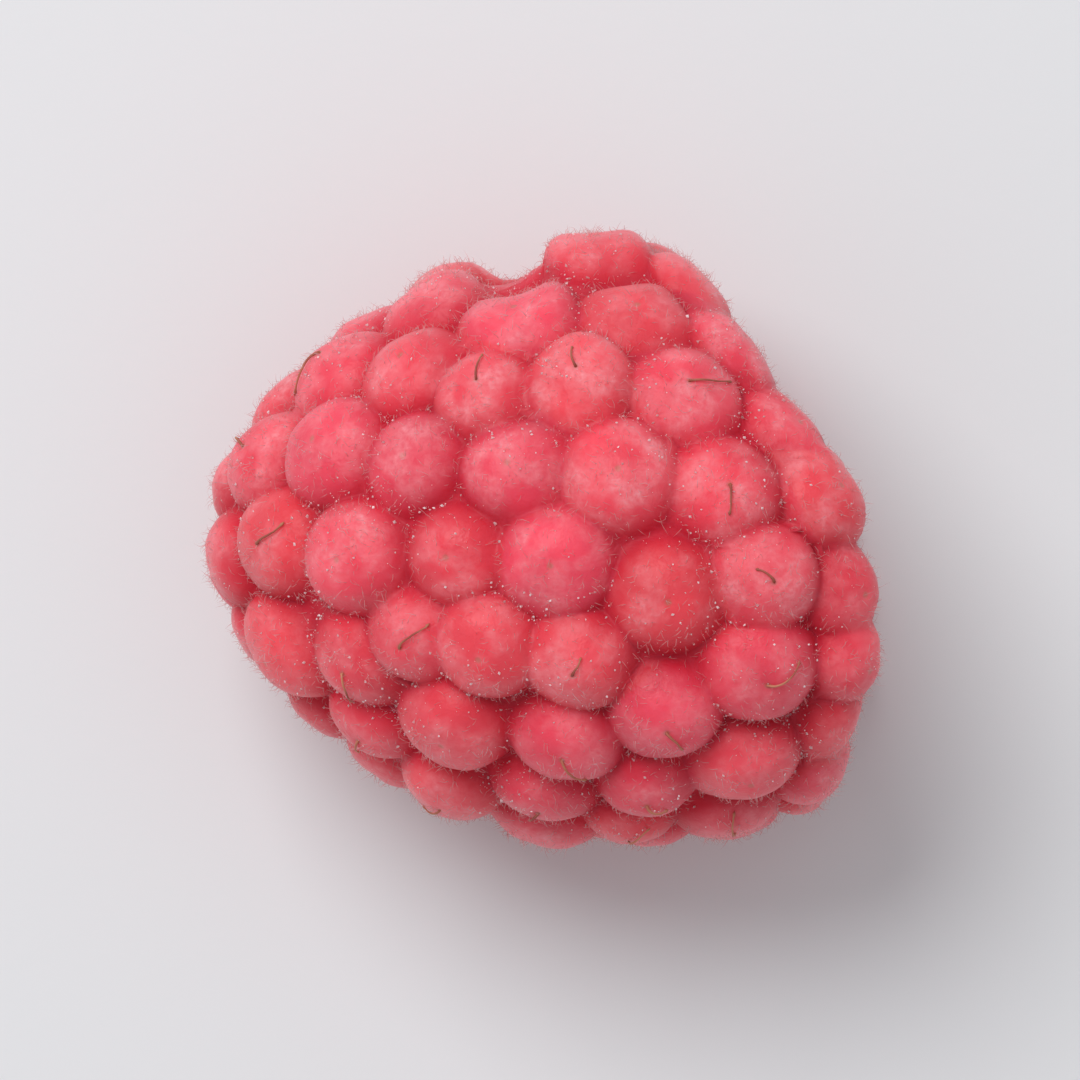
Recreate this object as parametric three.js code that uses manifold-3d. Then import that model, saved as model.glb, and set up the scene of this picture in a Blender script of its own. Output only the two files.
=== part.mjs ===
// A picked raspberry lying on its side: drupelets grown together into one thimble round the hollow that its core left.
// Millimetres, +Z up, resting on z = 0. The tip points to -X and the open mouth to +X.
import * as THREE from "three";
import { mergeVertices } from "three/addons/utils/BufferGeometryUtils.js";
import { ConvexHull } from "three/addons/math/ConvexHull.js";
import Module from "manifold-3d";

// The skin is a smooth thimble that touches every drupelet's crown: a profile, in mm behind the tip and as a share
// of the half width, that runs from the tip over the rim and back into the hollow.
const HALF_WIDTH = 9.25;
const HALF_HEIGHT = 9; // the berry lies a little squashed
const PROFILE = [
  [0, 0],
  [0.5, 0.22],
  [1.8, 0.435],
  [4, 0.67],
  [7, 0.865],
  [10, 0.96],
  [12.3, 1],
  [14.8, 0.965],
  [16.7, 0.91],
  [17.9, 0.82],
  [18.5, 0.7],
  [18.1, 0.575],
  [16.9, 0.49],
  [14.3, 0.44],
  [10.5, 0.38],
  [8, 0.29],
  [6.7, 0.16],
  [6.3, 0],
];
const CREST = 10; // the profile point on top of the rim
const RIM_ROW = 9; // the one under the crowns of the rim drupelets
const BODY_ROW = 7.3; // the last and first places that the crowns outside
const HOLLOW_ROW = 12.5; // and in the hollow may reach
const RIM_SLANT = 0.26; // the rim leans back by this much per mm across
const RIM_WAVE = 1.4; // and stands this much further out above and below than at its sides
const SLANT_FROM = 7; // mm behind the tip where both start
// A notch in the +Y outline and the full shoulder behind it: mm behind the tip, depth or height and reach along, and
// place and reach round the axis in radians above +Y.
const NOTCH = { x: 9.6, depth: 0.6, along: 1.1, turn: 0.05, round: 0.7 };
const SHOULDER = { x: 17, height: 0.9, along: 2, turn: 0.25, round: 0.5 };
const SAG_HEIGHT = 1.3; // the underside is flattened by this much
const SAG_SOFTNESS = 0.2;
const REST_DENT = 0.38; // and its lowest crowns are dented by the surface below

// Drupelets: a ring on the rim, and two spirals that settle into the space on either side of it.
const RIM_COUNT = 18;
const BODY_COUNT = 92;
const HOLLOW_COUNT = 44;
const PITCH = 3.6; // how far apart they push each other on the skin
const HOLLOW_PITCH = 2.9; // their inner ends stand closer
const PITCH_SPREAD = 0.22;
const SETTLE_STEPS = 160;
const CROWN_SPREAD = 0.17; // crowns stand this much higher or lower than the skin
// Two pairs stand on either side of the notch: mm behind the tip, degrees above +Y, size.
const LARGE = [
  [6.8, 17, 4],
  [14.2, 13, 5.8],
  [7.3, -8, 3.7],
  [13.8, -12, 4],
];
const SWALLOWED = 2.6; // none starts closer to them than this

// Each is a dome that falls from its crown to the crease halfway to its neighbours, and on into the pits.
const CREASE_SHARE = 0.23; // depth of a crease, by how far apart the crowns stand
const WIDEST_GAP = 4.4; // drupelets further apart than this are creased no deeper
const ROUNDNESS = 0.86; // a dome is this much of a half ball across, from crown to crease
const PIT_REACH = 1.1; // its fall is straight beyond this reach, where the crease is at 1
const PIT_FALL = 5;
const PIT_DEPTH = 1.15; // the deepest that pits get
const FUSED = 0.06; // mm over which neighbours run into each other
const RIM_RELIEF = 0.7; // all of it is shallower by this share over the rim and in the hollow
const SMOOTH_SIDE = new THREE.Vector3(-0.55, 0.65, 0.52); // and by this one where they are rubbed smoother
const SMOOTH_RELIEF = 0.75;
const RESTING_TURN = -0.8; // crowns lower than this on the ball all stand alike
// Where a drupelet's rings lie, as shares of the way from its crown to the crease.
const RINGS = { body: [0.5, 0.82, 1], rim: [0.3, 0.55, 0.76, 0.9, 1], hollow: [0.65, 1] };
const LONG_CREASE = 2.6; // creases longer than this take three points, the others one

const GOLDEN_ANGLE = Math.PI * (3 - Math.sqrt(5));
const ROW_STEPS = 20; // the profile is read at this many places from one of its points to the next
const wasm = await Module();
wasm.setup();

// A small linear congruential generator, so that every run grows the same berry.
let seed = 7;
function random() {
  seed = (Math.imul(seed, 1664525) + 1013904223) >>> 0;
  return seed / 4294967296;
}
const spread = (amount) => amount * (2 * random() - 1);

// The skin is mapped from a ball whose -X half is the outside and whose +X half is the hollow, at such latitudes
// that small shapes keep their proportions.
const latitudes = (() => {
  const curve = new THREE.SplineCurve(PROFILE.map(([x, share]) => new THREE.Vector2(x, share)));
  const steps = ROW_STEPS * (PROFILE.length - 1);
  const points = Array.from({ length: steps + 1 }, (_, i) => curve.getPoint(i / steps));
  const radius = (HALF_WIDTH + HALF_HEIGHT) / 2;
  const stretch = [0];
  const area = [0];
  for (let i = 1; i <= steps; i++) {
    const share = Math.max(0.5 * (points[i].y + points[i - 1].y), 0.004);
    const length = Math.hypot(points[i].x - points[i - 1].x, radius * (points[i].y - points[i - 1].y));
    stretch.push(stretch[i - 1] + length / (radius * share));
    area.push(area[i - 1] + length * share);
  }
  const rows = [CREST, RIM_ROW, BODY_ROW, HOLLOW_ROW].map((row) => Math.round(row * ROW_STEPS));
  const [crest, rim, body, hollow] = rows;
  const angle = stretch.map((s) => 2 * Math.atan(Math.exp(s - stretch[crest])));
  angle[0] = 0;
  angle[steps] = Math.PI;
  return { points, angle, area, rows: { rim, body, hollow }, steps };
})();

// Reads a table at the place where a rising column reaches value.
function lookUp(column, value) {
  let i = 1;
  while (i < column.length - 1 && column[i] < value) i++;
  const part = THREE.MathUtils.clamp((value - column[i - 1]) / (column[i] - column[i - 1]), 0, 1);
  return { i, part };
}

function skinPoint(d) {
  const { i, part } = lookUp(latitudes.angle, Math.acos(THREE.MathUtils.clamp(-d.x, -1, 1)));
  const p = latitudes.points[i - 1].clone().lerp(latitudes.points[i], part);
  const across = Math.hypot(d.y, d.z) || 1;
  if (d.x < 0) {
    const near = (place) =>
      Math.exp(-(((p.x - place.x) / place.along) ** 2) - ((Math.atan2(d.z, d.y) - place.turn) / place.round) ** 2);
    p.y += (SHOULDER.height * near(SHOULDER) - NOTCH.depth * near(NOTCH)) / HALF_WIDTH;
  }
  const y = (HALF_WIDTH * p.y * d.y) / across;
  const z = (HALF_HEIGHT * p.y * d.z) / across;
  const lean = THREE.MathUtils.smoothstep(p.x, SLANT_FROM, PROFILE[CREST][0]);
  const wave = (RIM_WAVE * (d.z ** 2 - d.y ** 2)) / across ** 2;
  const floor = -HALF_HEIGHT + SAG_HEIGHT;
  const sagged = floor + SAG_SOFTNESS * Math.log(1 + Math.exp((z - floor) / SAG_SOFTNESS));
  return new THREE.Vector3(p.x + lean * (wave - RIM_SLANT * y), y, sagged);
}

function skinNormal(d) {
  const side = new THREE.Vector3(0, -d.z, d.y).normalize();
  if (side.lengthSq() < 0.5) side.set(0, 1, 0);
  const ahead = side.clone().cross(d);
  const reach = 0.01;
  const slope = (e) =>
    skinPoint(d.clone().addScaledVector(e, reach).normalize()).sub(
      skinPoint(d.clone().addScaledVector(e, -reach).normalize()),
    );
  return slope(ahead).cross(slope(side)).normalize();
}

function onBall(angle, turn) {
  return new THREE.Vector3(-Math.cos(angle), Math.sin(angle) * Math.cos(turn), Math.sin(angle) * Math.sin(turn));
}

function plant() {
  const seeds = [];
  const large = [];
  const { points, angle, area, rows, steps } = latitudes;
  const sow = (count, from, to, rank, pitch) => {
    for (let i = 0; i < count; i++) {
      const { i: row, part } = lookUp(area, THREE.MathUtils.lerp(area[from], area[to], (i + 0.5) / count));
      const latitude = THREE.MathUtils.lerp(angle[row - 1], angle[row], part);
      const size = pitch * (1 + spread(PITCH_SPREAD));
      const d = onBall(latitude, i * GOLDEN_ANGLE);
      if (large.some((place) => place.distanceTo(skinPoint(d)) <= SWALLOWED)) continue;
      seeds.push({ rank, d, size });
    }
  };
  for (let i = 0; i < RIM_COUNT; i++) {
    const turn = ((i + spread(0.12)) / RIM_COUNT) * 2 * Math.PI;
    seeds.push({ rank: "rim", fixed: true, d: onBall(angle[rows.rim], turn), size: PITCH });
  }
  for (const [x, degrees, size] of LARGE) {
    const row = points.findIndex((p) => p.x > x);
    const d = onBall(angle[row], THREE.MathUtils.degToRad(degrees));
    seeds.push({ rank: "body", fixed: true, d, size });
    large.push(skinPoint(d));
  }
  sow(BODY_COUNT, 0, rows.body, "body", PITCH);
  sow(HOLLOW_COUNT, rows.hollow, steps, "hollow", HOLLOW_PITCH);
  return seeds;
}

// Neighbours that stand too close push each other apart, as swelling drupelets do.
function settle(drupelets) {
  for (let step = 0; step < SETTLE_STEPS; step++) {
    for (const a of drupelets) a.crown = skinPoint(a.d);
    const pushes = drupelets.map(() => new THREE.Vector3());
    drupelets.forEach((a, i) =>
      drupelets.slice(0, i).forEach((b, j) => {
        const wanted = 0.5 * (a.size + b.size);
        const distance = a.crown.distanceTo(b.crown);
        if (distance >= wanted) return;
        const push = a.d.clone().sub(b.d).multiplyScalar((0.3 * (wanted - distance)) / distance);
        pushes[i].add(push);
        pushes[j].sub(push);
      }),
    );
    drupelets.forEach((a, i) => {
      if (a.fixed) return;
      a.d.add(pushes[i]).normalize();
      const { rows, angle } = latitudes;
      const latitude = Math.acos(-a.d.x);
      const allowed = a.rank === "body" ? Math.min(latitude, angle[rows.body]) : Math.max(latitude, angle[rows.hollow]);
      a.d.copy(onBall(allowed, Math.atan2(a.d.z, a.d.y)));
    });
  }
}

// Each drupelet's cell is bounded by the junctions with its neighbours, in order round its crown.
function findCells(drupelets) {
  const owner = new Map(drupelets.map((a) => [a.d, a]));
  for (const a of drupelets) {
    a.crown = skinPoint(a.d);
    a.side = new THREE.Vector3(0.3, 1, 0.2).cross(a.d).normalize();
    a.up = a.d.clone().cross(a.side);
    a.junctions = [];
    a.beside = new Set();
  }
  for (const face of new ConvexHull().setFromPoints(drupelets.map((a) => a.d)).faces) {
    const around = [face.edge, face.edge.next, face.edge.prev].map((edge) => owner.get(edge.head().point));
    for (const a of around) {
      a.junctions.push(face.normal.clone());
      for (const b of around) if (b !== a) a.beside.add(b);
    }
  }
  for (const a of drupelets) {
    a.junctions.sort((p, q) => turnOf(a, p) - turnOf(a, q));
    const gaps = [...a.beside].map((b) => Math.min(a.crown.distanceTo(b.crown), WIDEST_GAP));
    a.gap = gaps.reduce((sum, gap) => sum + gap, 0) / gaps.length;
    a.rise = spread(CROWN_SPREAD) * (a.d.z > RESTING_TURN ? 1 : 0);
  }
}

const turnOf = (a, d) => Math.atan2(d.dot(a.up), d.dot(a.side));

function relief(d) {
  const rim = THREE.MathUtils.lerp(1, RIM_RELIEF, THREE.MathUtils.smoothstep(d.x, -0.4, 0));
  return rim * THREE.MathUtils.lerp(1, SMOOTH_RELIEF, THREE.MathUtils.smoothstep(d.dot(SMOOTH_SIDE), 0.2, 0.9));
}

// How far a dome has fallen, as a share of its fall to the crease, at a reach that is 1 at the crease.
function dome(reach) {
  const held = Math.min(reach, PIT_REACH);
  const round = 1 - Math.sqrt(1 - (ROUNDNESS * held) ** 2);
  return round / (1 - Math.sqrt(1 - ROUNDNESS ** 2)) + PIT_FALL * (reach - held);
}

// The berry's surface: of all the domes and the floor of the pits, the highest shows, run into its neighbours.
function surface(drupelets, d) {
  const skin = skinPoint(d);
  const shallow = relief(d);
  let highest = Math.exp((-PIT_DEPTH * shallow) / FUSED);
  for (const { crown, gap, rise } of drupelets) {
    const fallen = CREASE_SHARE * gap * shallow * dome(skin.distanceTo(crown) / (gap / 2));
    highest += Math.exp((rise - fallen) / FUSED);
  }
  return skin.addScaledVector(skinNormal(d), FUSED * Math.log(highest));
}

// Directions on the rings of a drupelet, from just round its crown out to the creases.
function ringsOf(a) {
  const border = a.junctions.flatMap((from, i) => {
    const to = a.junctions[(i + 1) % a.junctions.length];
    const long = skinPoint(from).distanceTo(skinPoint(to)) > LONG_CREASE;
    const between = (long ? [0.25, 0.5, 0.75] : [0.5]).map((t) => from.clone().lerp(to, t).normalize());
    return [from, ...between];
  });
  return RINGS[a.rank].map((share) =>
    border.map((b) => {
      if (share === 1) return b;
      const reach = share * a.d.angleTo(b);
      const turn = turnOf(a, b);
      const d = a.d.clone().multiplyScalar(Math.cos(reach));
      d.addScaledVector(a.side, Math.sin(reach) * Math.cos(turn));
      return d.addScaledVector(a.up, Math.sin(reach) * Math.sin(turn));
    }),
  );
}

function berryGeometry(drupelets) {
  const corners = [];
  for (const a of drupelets) {
    const crown = surface(drupelets, a.d);
    const rings = ringsOf(a).map((ring) => ring.map((d) => surface(drupelets, d)));
    const count = rings[0].length;
    for (let k = 0; k < count; k++) {
      const n = (k + 1) % count;
      corners.push(crown, rings[0][k], rings[0][n]);
      for (let r = 1; r < rings.length; r++) {
        corners.push(rings[r - 1][k], rings[r][k], rings[r][n], rings[r - 1][k], rings[r][n], rings[r - 1][n]);
      }
    }
  }
  return new THREE.BufferGeometry().setFromPoints(corners);
}

function solid(geometry) {
  geometry.deleteAttribute("normal");
  geometry.deleteAttribute("uv");
  const merged = mergeVertices(geometry, 1e-4);
  return new wasm.Manifold(
    new wasm.Mesh({
      numProp: 3,
      vertProperties: new Float32Array(merged.attributes.position.array),
      triVerts: new Uint32Array(merged.index.array),
    }),
  );
}

function geometryOf(manifold) {
  const { vertProperties, triVerts } = manifold.getMesh();
  const geometry = new THREE.BufferGeometry();
  geometry.setAttribute("position", new THREE.BufferAttribute(vertProperties, 3));
  geometry.setIndex(new THREE.BufferAttribute(triVerts, 1));
  geometry.computeVertexNormals();
  return geometry;
}

const drupelets = plant();
settle(drupelets);
findCells(drupelets);

// Centred over the origin, and pressed into z = 0 by the depth of the dents.
const berry = berryGeometry(drupelets);
berry.computeBoundingBox();
const centre = berry.boundingBox.getCenter(new THREE.Vector3());
berry.translate(-centre.x, -centre.y, -berry.boundingBox.min.z - REST_DENT);
const GROUND_SIZE = 40;
const ground = new THREE.BoxGeometry(GROUND_SIZE, GROUND_SIZE, GROUND_SIZE).translate(0, 0, -GROUND_SIZE / 2);

const flesh = new THREE.MeshStandardMaterial({ color: 0xd5525e, roughness: 0.6, metalness: 0 });
const raspberry = new THREE.Mesh(geometryOf(solid(berry).subtract(solid(ground))), flesh);
raspberry.name = "raspberry";

const part = new THREE.Group();
part.add(raspberry);
export default part;
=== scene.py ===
"""A picked raspberry, frozen and lightly frosted, lying on its side on a pale studio floor.

Blender works in metres, and the berry's own sizes here are in millimetres.
The tip points to -X and the open mouth to +X; +Z is up.
"""

import functools
import math

import bmesh
import bpy
import numpy as np
from bpy.props import (
    FloatProperty,
    FloatVectorProperty,
    IntProperty,
    PointerProperty,
)
from bpy.types import Operator, Panel, PropertyGroup
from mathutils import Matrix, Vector, noise
from mathutils.bvhtree import BVHTree


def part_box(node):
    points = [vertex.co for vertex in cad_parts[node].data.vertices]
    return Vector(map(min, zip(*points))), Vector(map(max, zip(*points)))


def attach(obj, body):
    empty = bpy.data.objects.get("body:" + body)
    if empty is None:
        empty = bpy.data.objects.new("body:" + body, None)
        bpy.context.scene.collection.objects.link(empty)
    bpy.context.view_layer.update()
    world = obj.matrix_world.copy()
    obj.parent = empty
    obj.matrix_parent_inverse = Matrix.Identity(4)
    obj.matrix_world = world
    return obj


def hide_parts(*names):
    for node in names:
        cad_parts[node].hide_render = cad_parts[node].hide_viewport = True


bl_info = {
    "name": "Frozen Raspberry",
    "version": (1, 0, 0),
    "blender": (4, 5, 0),
    "location": "3D View > Sidebar > Raspberry",
    "description": "Grows a picked raspberry with its drupelets, down, styles and frost",
    "category": "Add Mesh",
}

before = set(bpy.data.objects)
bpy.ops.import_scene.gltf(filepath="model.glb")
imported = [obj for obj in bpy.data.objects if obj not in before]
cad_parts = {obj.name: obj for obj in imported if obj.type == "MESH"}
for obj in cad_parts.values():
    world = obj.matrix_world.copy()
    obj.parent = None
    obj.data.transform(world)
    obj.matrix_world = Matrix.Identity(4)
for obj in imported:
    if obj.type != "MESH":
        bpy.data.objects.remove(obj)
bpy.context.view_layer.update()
BERRY_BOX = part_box("raspberry")

MM = 0.001


def linear(code):
    """An sRGB hex colour as the linear red, green and blue that shaders take."""
    parts = [int(code[i : i + 2], 16) / 255 for i in (1, 3, 5)]
    return tuple(
        p / 12.92 if p <= 0.04045 else ((p + 0.055) / 1.055) ** 2.4 for p in parts
    )


# --- The berry's skin: a smooth thimble that touches every drupelet's crown -----------------

HALF_WIDTH = 9.25
HALF_HEIGHT = 9.0
# mm behind the tip, and share of the half width: from the tip over the rim and back into the hollow
PROFILE = np.array(
    [
        (0, 0),
        (0.5, 0.22),
        (1.8, 0.435),
        (4, 0.67),
        (7, 0.865),
        (10, 0.96),
        (12.3, 1),
        (14.8, 0.965),
        (16.7, 0.91),
        (17.9, 0.82),
        (18.5, 0.7),
        (18.1, 0.575),
        (16.9, 0.49),
        (14.3, 0.44),
        (10.5, 0.38),
        (8, 0.29),
        (6.7, 0.16),
        (6.3, 0),
    ]
)
CREST_ROW = 10  # the profile point on top of the rim
RIM_ROW = 9  # the one under the crowns of the rim drupelets
BODY_ROW = 7.3  # crowns outside stay before this place on the profile
HOLLOW_ROW = 12.5  # and those in the hollow past this one
ROW_STEPS = 20  # steps from one point of the profile to the next
LEAST_SHARE = 0.004  # of the half width, so that nothing is divided by zero at the poles
RIM_SLANT = 0.26  # mm that the rim stands nearer to the tip for each mm towards +Y
RIM_WAVE = 1.4  # mm that its top and foot stand further back, and its sides less far
SLANT_FROM = 7  # mm behind the tip, where slant and wave begin
# mm behind the tip, height, reach along it, radians above +Y and reach round the axis
NOTCH = (9.6, -0.6, 1.1, 0.05, 0.7)
SHOULDER = (17, 0.9, 2, 0.25, 0.5)
SAG_HEIGHT = 1.3  # mm that its weight flattens the underside by
SAG_SOFTNESS = 0.2  # mm over which that flat rounds off
SLOPE_STEP = 0.01  # on the ball, either way from where a slope is measured

# --- Its drupelets --------------------------------------------------------------------------

RIM_COUNT, BODY_COUNT, HOLLOW_COUNT = 18, 92, 44
PITCH, HOLLOW_PITCH = 3.6, 2.9  # mm from crown to crown
PITCH_SPREAD = 0.22  # as a share of the pitch
RIM_SPREAD = 0.12  # as a share of the step from one rim drupelet to the next
SETTLE_STEPS, PUSH = 160, 0.3  # rounds of pushing apart, and the share made good in each
CROWN_SPREAD = 0.17  # mm that a crown stands proud or low
# the large ones: mm behind the tip, degrees above +Y, pitch
LARGE = [(6.8, 17, 4), (14.2, 13, 5.8), (7.3, -8, 3.7), (13.8, -12, 4)]
# low in the notch, two that never filled: mm behind the tip, degrees above +Y, width and rise in mm
STUNTED = [(9.5, 12, 2.1, -0.5), (9.6, -7, 1.9, -0.55)]
SWALLOWED = 2.6  # mm from a large one within which none starts
CREASE_SHARE = 0.23  # the fall from crown to crease, as a share of the gap between crowns
WIDEST_GAP = 4.4  # mm
RIM_RELIEF, RIM_FADE = 0.7, (-0.4, 0)  # shallower creases in the mouth, coming in along X
SMOOTH_SIDE = np.array((-0.55, 0.65, 0.52))  # the side where the drupelets are rubbed smoother
SMOOTH_RELIEF, SMOOTH_FADE = 0.75, (0.2, 0.9)
RESTING_TURN = -0.8  # on the ball, below which the crowns lie level on the floor
ROUNDNESS = 0.86  # a drupelet is this much of a half ball across, from crown to crease
PIT_REACH = 1.1  # beyond which its fall is straight, where the crease is at 1
PIT_FALL = 5
PIT_DEPTH = 1.15  # mm, the deepest that pits get
FUSED = 0.06  # mm over which neighbours run into each other
SCAR_REACH = 0.14  # mm from a crown that its scar reaches
SCAR_RING = 0.05  # the innermost ring of points round a crown, as a share of the way to the crease
RING_BEND = 1.25  # rings crowd towards the crease as a sine does up to this angle
OFF_AXIS = (0.3, 1, 0.2)  # no crown lies this way, so each has a side square to it
GOLDEN_ANGLE = math.pi * (3 - math.sqrt(5))
FAR = 1e6  # mm, further than any two crowns are
BATCH = 5000  # points that are worked out at a time


def rolls(seed=7):
    """A small linear congruential generator, so that every run grows the same berry."""
    while True:
        seed = (seed * 1664525 + 1013904223) % 2**32
        yield seed / 2**32


def unit(v):
    return v / np.maximum(np.linalg.norm(v, axis=-1, keepdims=True), 1e-12)


def mix(a, b, t):
    return a + (b - a) * t


def smoothstep(x, low, high):
    t = np.clip((x - low) / (high - low), 0, 1)
    return t * t * (3 - 2 * t)


@functools.lru_cache(maxsize=1)
def latitudes():
    """The profile at even steps: its points, the ball's latitude at each, and the area up to it.

    The latitudes are such that small shapes keep their proportions.
    """
    steps = ROW_STEPS * (len(PROFILE) - 1)
    place = np.linspace(0, len(PROFILE) - 1, steps + 1)
    k = np.minimum(place.astype(int), len(PROFILE) - 2)
    t = (place - k)[:, None]
    last = len(PROFILE) - 1
    before, a, b, after = (
        PROFILE[np.clip(k + shift, 0, last)] for shift in (-1, 0, 1, 2)
    )
    out, into = (b - before) / 2, (after - a) / 2
    points = (
        (2 * a - 2 * b + out + into) * t**3
        + (-3 * a + 3 * b - 2 * out - into) * t**2
        + out * t
        + a
    )
    radius = (HALF_WIDTH + HALF_HEIGHT) / 2
    share = np.maximum((points[1:, 1] + points[:-1, 1]) / 2, LEAST_SHARE)
    run = np.diff(points, axis=0)
    length = np.hypot(run[:, 0], radius * run[:, 1])
    stretch = np.concatenate([[0], np.cumsum(length / (radius * share))])
    area = np.concatenate([[0], np.cumsum(length * share)])
    angle = 2 * np.arctan(np.exp(stretch - stretch[CREST_ROW * ROW_STEPS]))
    angle[0], angle[-1] = 0, math.pi
    return points, angle, area


def row_index(row):
    return round(row * ROW_STEPS)


def look_up(column, value):
    i = np.clip(np.searchsorted(column, value), 1, len(column) - 1)
    return i, np.clip((value - column[i - 1]) / (column[i] - column[i - 1]), 0, 1)


def on_ball(angle, turn):
    return np.stack(
        [-np.cos(angle), np.sin(angle) * np.cos(turn), np.sin(angle) * np.sin(turn)],
        axis=-1,
    )


def towards(x, degrees):
    """The direction on the ball of a place outside, in mm behind the tip and degrees above +Y."""
    points, angle, _ = latitudes()
    row = int(np.argmax(points[:, 0] > x))
    return on_ball(angle[row], math.radians(degrees))


def skin_point(d):
    """Where the skin is, in mm, for directions d on the ball."""
    points, angle, _ = latitudes()
    i, part = look_up(angle, np.arccos(np.clip(-d[..., 0], -1, 1)))
    p = mix(points[i - 1], points[i], part[..., None])
    x, share = p[..., 0], p[..., 1]
    dy, dz = d[..., 1], d[..., 2]
    across = np.maximum(np.hypot(dy, dz), 1e-12)
    turn = np.arctan2(dz, dy)
    for at, height, along, above, reach in (NOTCH, SHOULDER):
        away = ((x - at) / along) ** 2 + ((turn - above) / reach) ** 2
        share = share + (d[..., 0] < 0) * height / HALF_WIDTH * np.exp(-away)
    y = HALF_WIDTH * share * dy / across
    z = HALF_HEIGHT * share * dz / across
    lean = smoothstep(x, SLANT_FROM, PROFILE[CREST_ROW, 0])
    wave = RIM_WAVE * (dz**2 - dy**2) / across**2
    floor = SAG_HEIGHT - HALF_HEIGHT
    sagged = floor + SAG_SOFTNESS * np.logaddexp(0, (z - floor) / SAG_SOFTNESS)
    return np.stack([x + lean * (wave - RIM_SLANT * y), y, sagged], axis=-1)


def skin_normal(d):
    side = np.stack([np.zeros(d.shape[:-1]), -d[..., 2], d[..., 1]], axis=-1)
    pole = np.linalg.norm(side, axis=-1, keepdims=True) < 1e-9
    side = np.where(pole, (0.0, 1.0, 0.0), unit(side))
    ahead = np.cross(side, d)

    def slope(e):
        return skin_point(unit(d + SLOPE_STEP * e)) - skin_point(unit(d - SLOPE_STEP * e))

    return unit(np.cross(slope(ahead), slope(side)))


def relief(d):
    """How deep the creases are, as a share of the deepest."""
    rim = mix(1, RIM_RELIEF, smoothstep(d[..., 0], *RIM_FADE))
    return rim * mix(1, SMOOTH_RELIEF, smoothstep(d @ SMOOTH_SIDE, *SMOOTH_FADE))


def plant_all(spread):
    """The drupelets before they settle: each one's rank, direction, pitch, and whether it stays."""
    _, angle, area = latitudes()
    planted = []
    for i in range(RIM_COUNT):
        turn = (i + spread(RIM_SPREAD)) / RIM_COUNT * math.tau
        planted.append(("rim", on_ball(angle[row_index(RIM_ROW)], turn), PITCH, True))
    for x, degrees, pitch in LARGE:
        planted.append(("body", towards(x, degrees), pitch, True))
    large = skin_point(np.array([d for _, d, _, _ in planted[RIM_COUNT:]]))
    spirals = [
        ("body", BODY_COUNT, 0, row_index(BODY_ROW), PITCH),
        ("hollow", HOLLOW_COUNT, row_index(HOLLOW_ROW), len(area) - 1, HOLLOW_PITCH),
    ]
    for rank, number, start, end, pitch in spirals:
        for i in range(number):
            row, part = look_up(area, mix(area[start], area[end], (i + 0.5) / number))
            d = on_ball(mix(angle[row - 1], angle[row], part), i * GOLDEN_ANGLE)
            own_pitch = pitch * (1 + spread(PITCH_SPREAD))
            if np.linalg.norm(large - skin_point(d), axis=1).min() > SWALLOWED:
                planted.append((rank, d, own_pitch, False))
    ranks, d, pitches, stays = zip(*planted)
    return ranks, np.array(d), np.array(pitches), np.array(stays)


def settle(ranks, d, pitch, stays):
    """Lets the drupelets push each other apart until they fill the skin."""
    _, angle, _ = latitudes()
    in_body = np.array(ranks) == "body"
    wanted = (pitch[:, None] + pitch) / 2
    for _ in range(SETTLE_STEPS):
        crown = skin_point(d)
        apart = np.linalg.norm(crown[:, None] - crown, axis=-1)
        np.fill_diagonal(apart, FAR)
        push = np.where(apart < wanted, PUSH * (wanted - apart) / apart, 0)
        moved = unit(d + ((d[:, None] - d) * push[..., None]).sum(axis=1))
        latitude = np.arccos(-moved[:, 0])
        latitude = np.where(
            in_body,
            np.minimum(latitude, angle[row_index(BODY_ROW)]),
            np.maximum(latitude, angle[row_index(HOLLOW_ROW)]),
        )
        moved = on_ball(latitude, np.arctan2(moved[:, 2], moved[:, 1]))
        d = np.where(stays[:, None], d, moved)
    return d


def neighbours(d):
    """The triples of drupelets that meet at a junction: the triangles of their convex hull."""
    hull = bmesh.new()
    for p in d:
        hull.verts.new(p)
    hull.verts.index_update()
    bmesh.ops.convex_hull(hull, input=hull.verts[:])
    triples = np.array([[v.index for v in face.verts] for face in hull.faces])
    hull.free()
    return triples


@functools.lru_cache(maxsize=1)
def drupelets():
    """The settled drupelets: rank, direction, crown, rise and gap of each, and its junctions."""
    roll = rolls()

    def spread(amount):
        return amount * (2 * next(roll) - 1)

    ranks, d, pitch, stays = plant_all(spread)
    d = settle(ranks, d, pitch, stays)
    crown = skin_point(d)
    apart = np.linalg.norm(crown[:, None] - crown, axis=-1)
    around = neighbours(d)
    a, b, c = (d[around[:, i]] for i in range(3))
    junction = unit(np.cross(b - a, c - a))
    junction *= np.sign((junction * a).sum(axis=1, keepdims=True))
    rise = [spread(CROWN_SPREAD) * (p[2] > RESTING_TURN) for p in d]

    side = unit(np.cross(OFF_AXIS, d))
    up = np.cross(d, side)
    cells, gaps = [], []
    for i in range(len(d)):
        near = [j for j in range(len(around)) if i in around[j]]
        near.sort(key=lambda j: math.atan2(junction[j] @ up[i], junction[j] @ side[i]))
        cells.append(near)
        beside = np.unique(around[near])
        gaps.append(np.minimum(apart[i, beside[beside != i]], WIDEST_GAP).mean())
    # the stunted ones are domes only, with no cell of their own
    for x, degrees, width, height in STUNTED:
        crown = np.vstack([crown, skin_point(towards(x, degrees))])
        gaps.append(width)
        rise.append(height)
    return {
        "rank": ranks,
        "d": d,
        "side": side,
        "up": up,
        "crown": crown,
        "rise": np.array(rise),
        "gap": np.array(gaps),
        "junction": junction,
        "cells": cells,
    }


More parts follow.
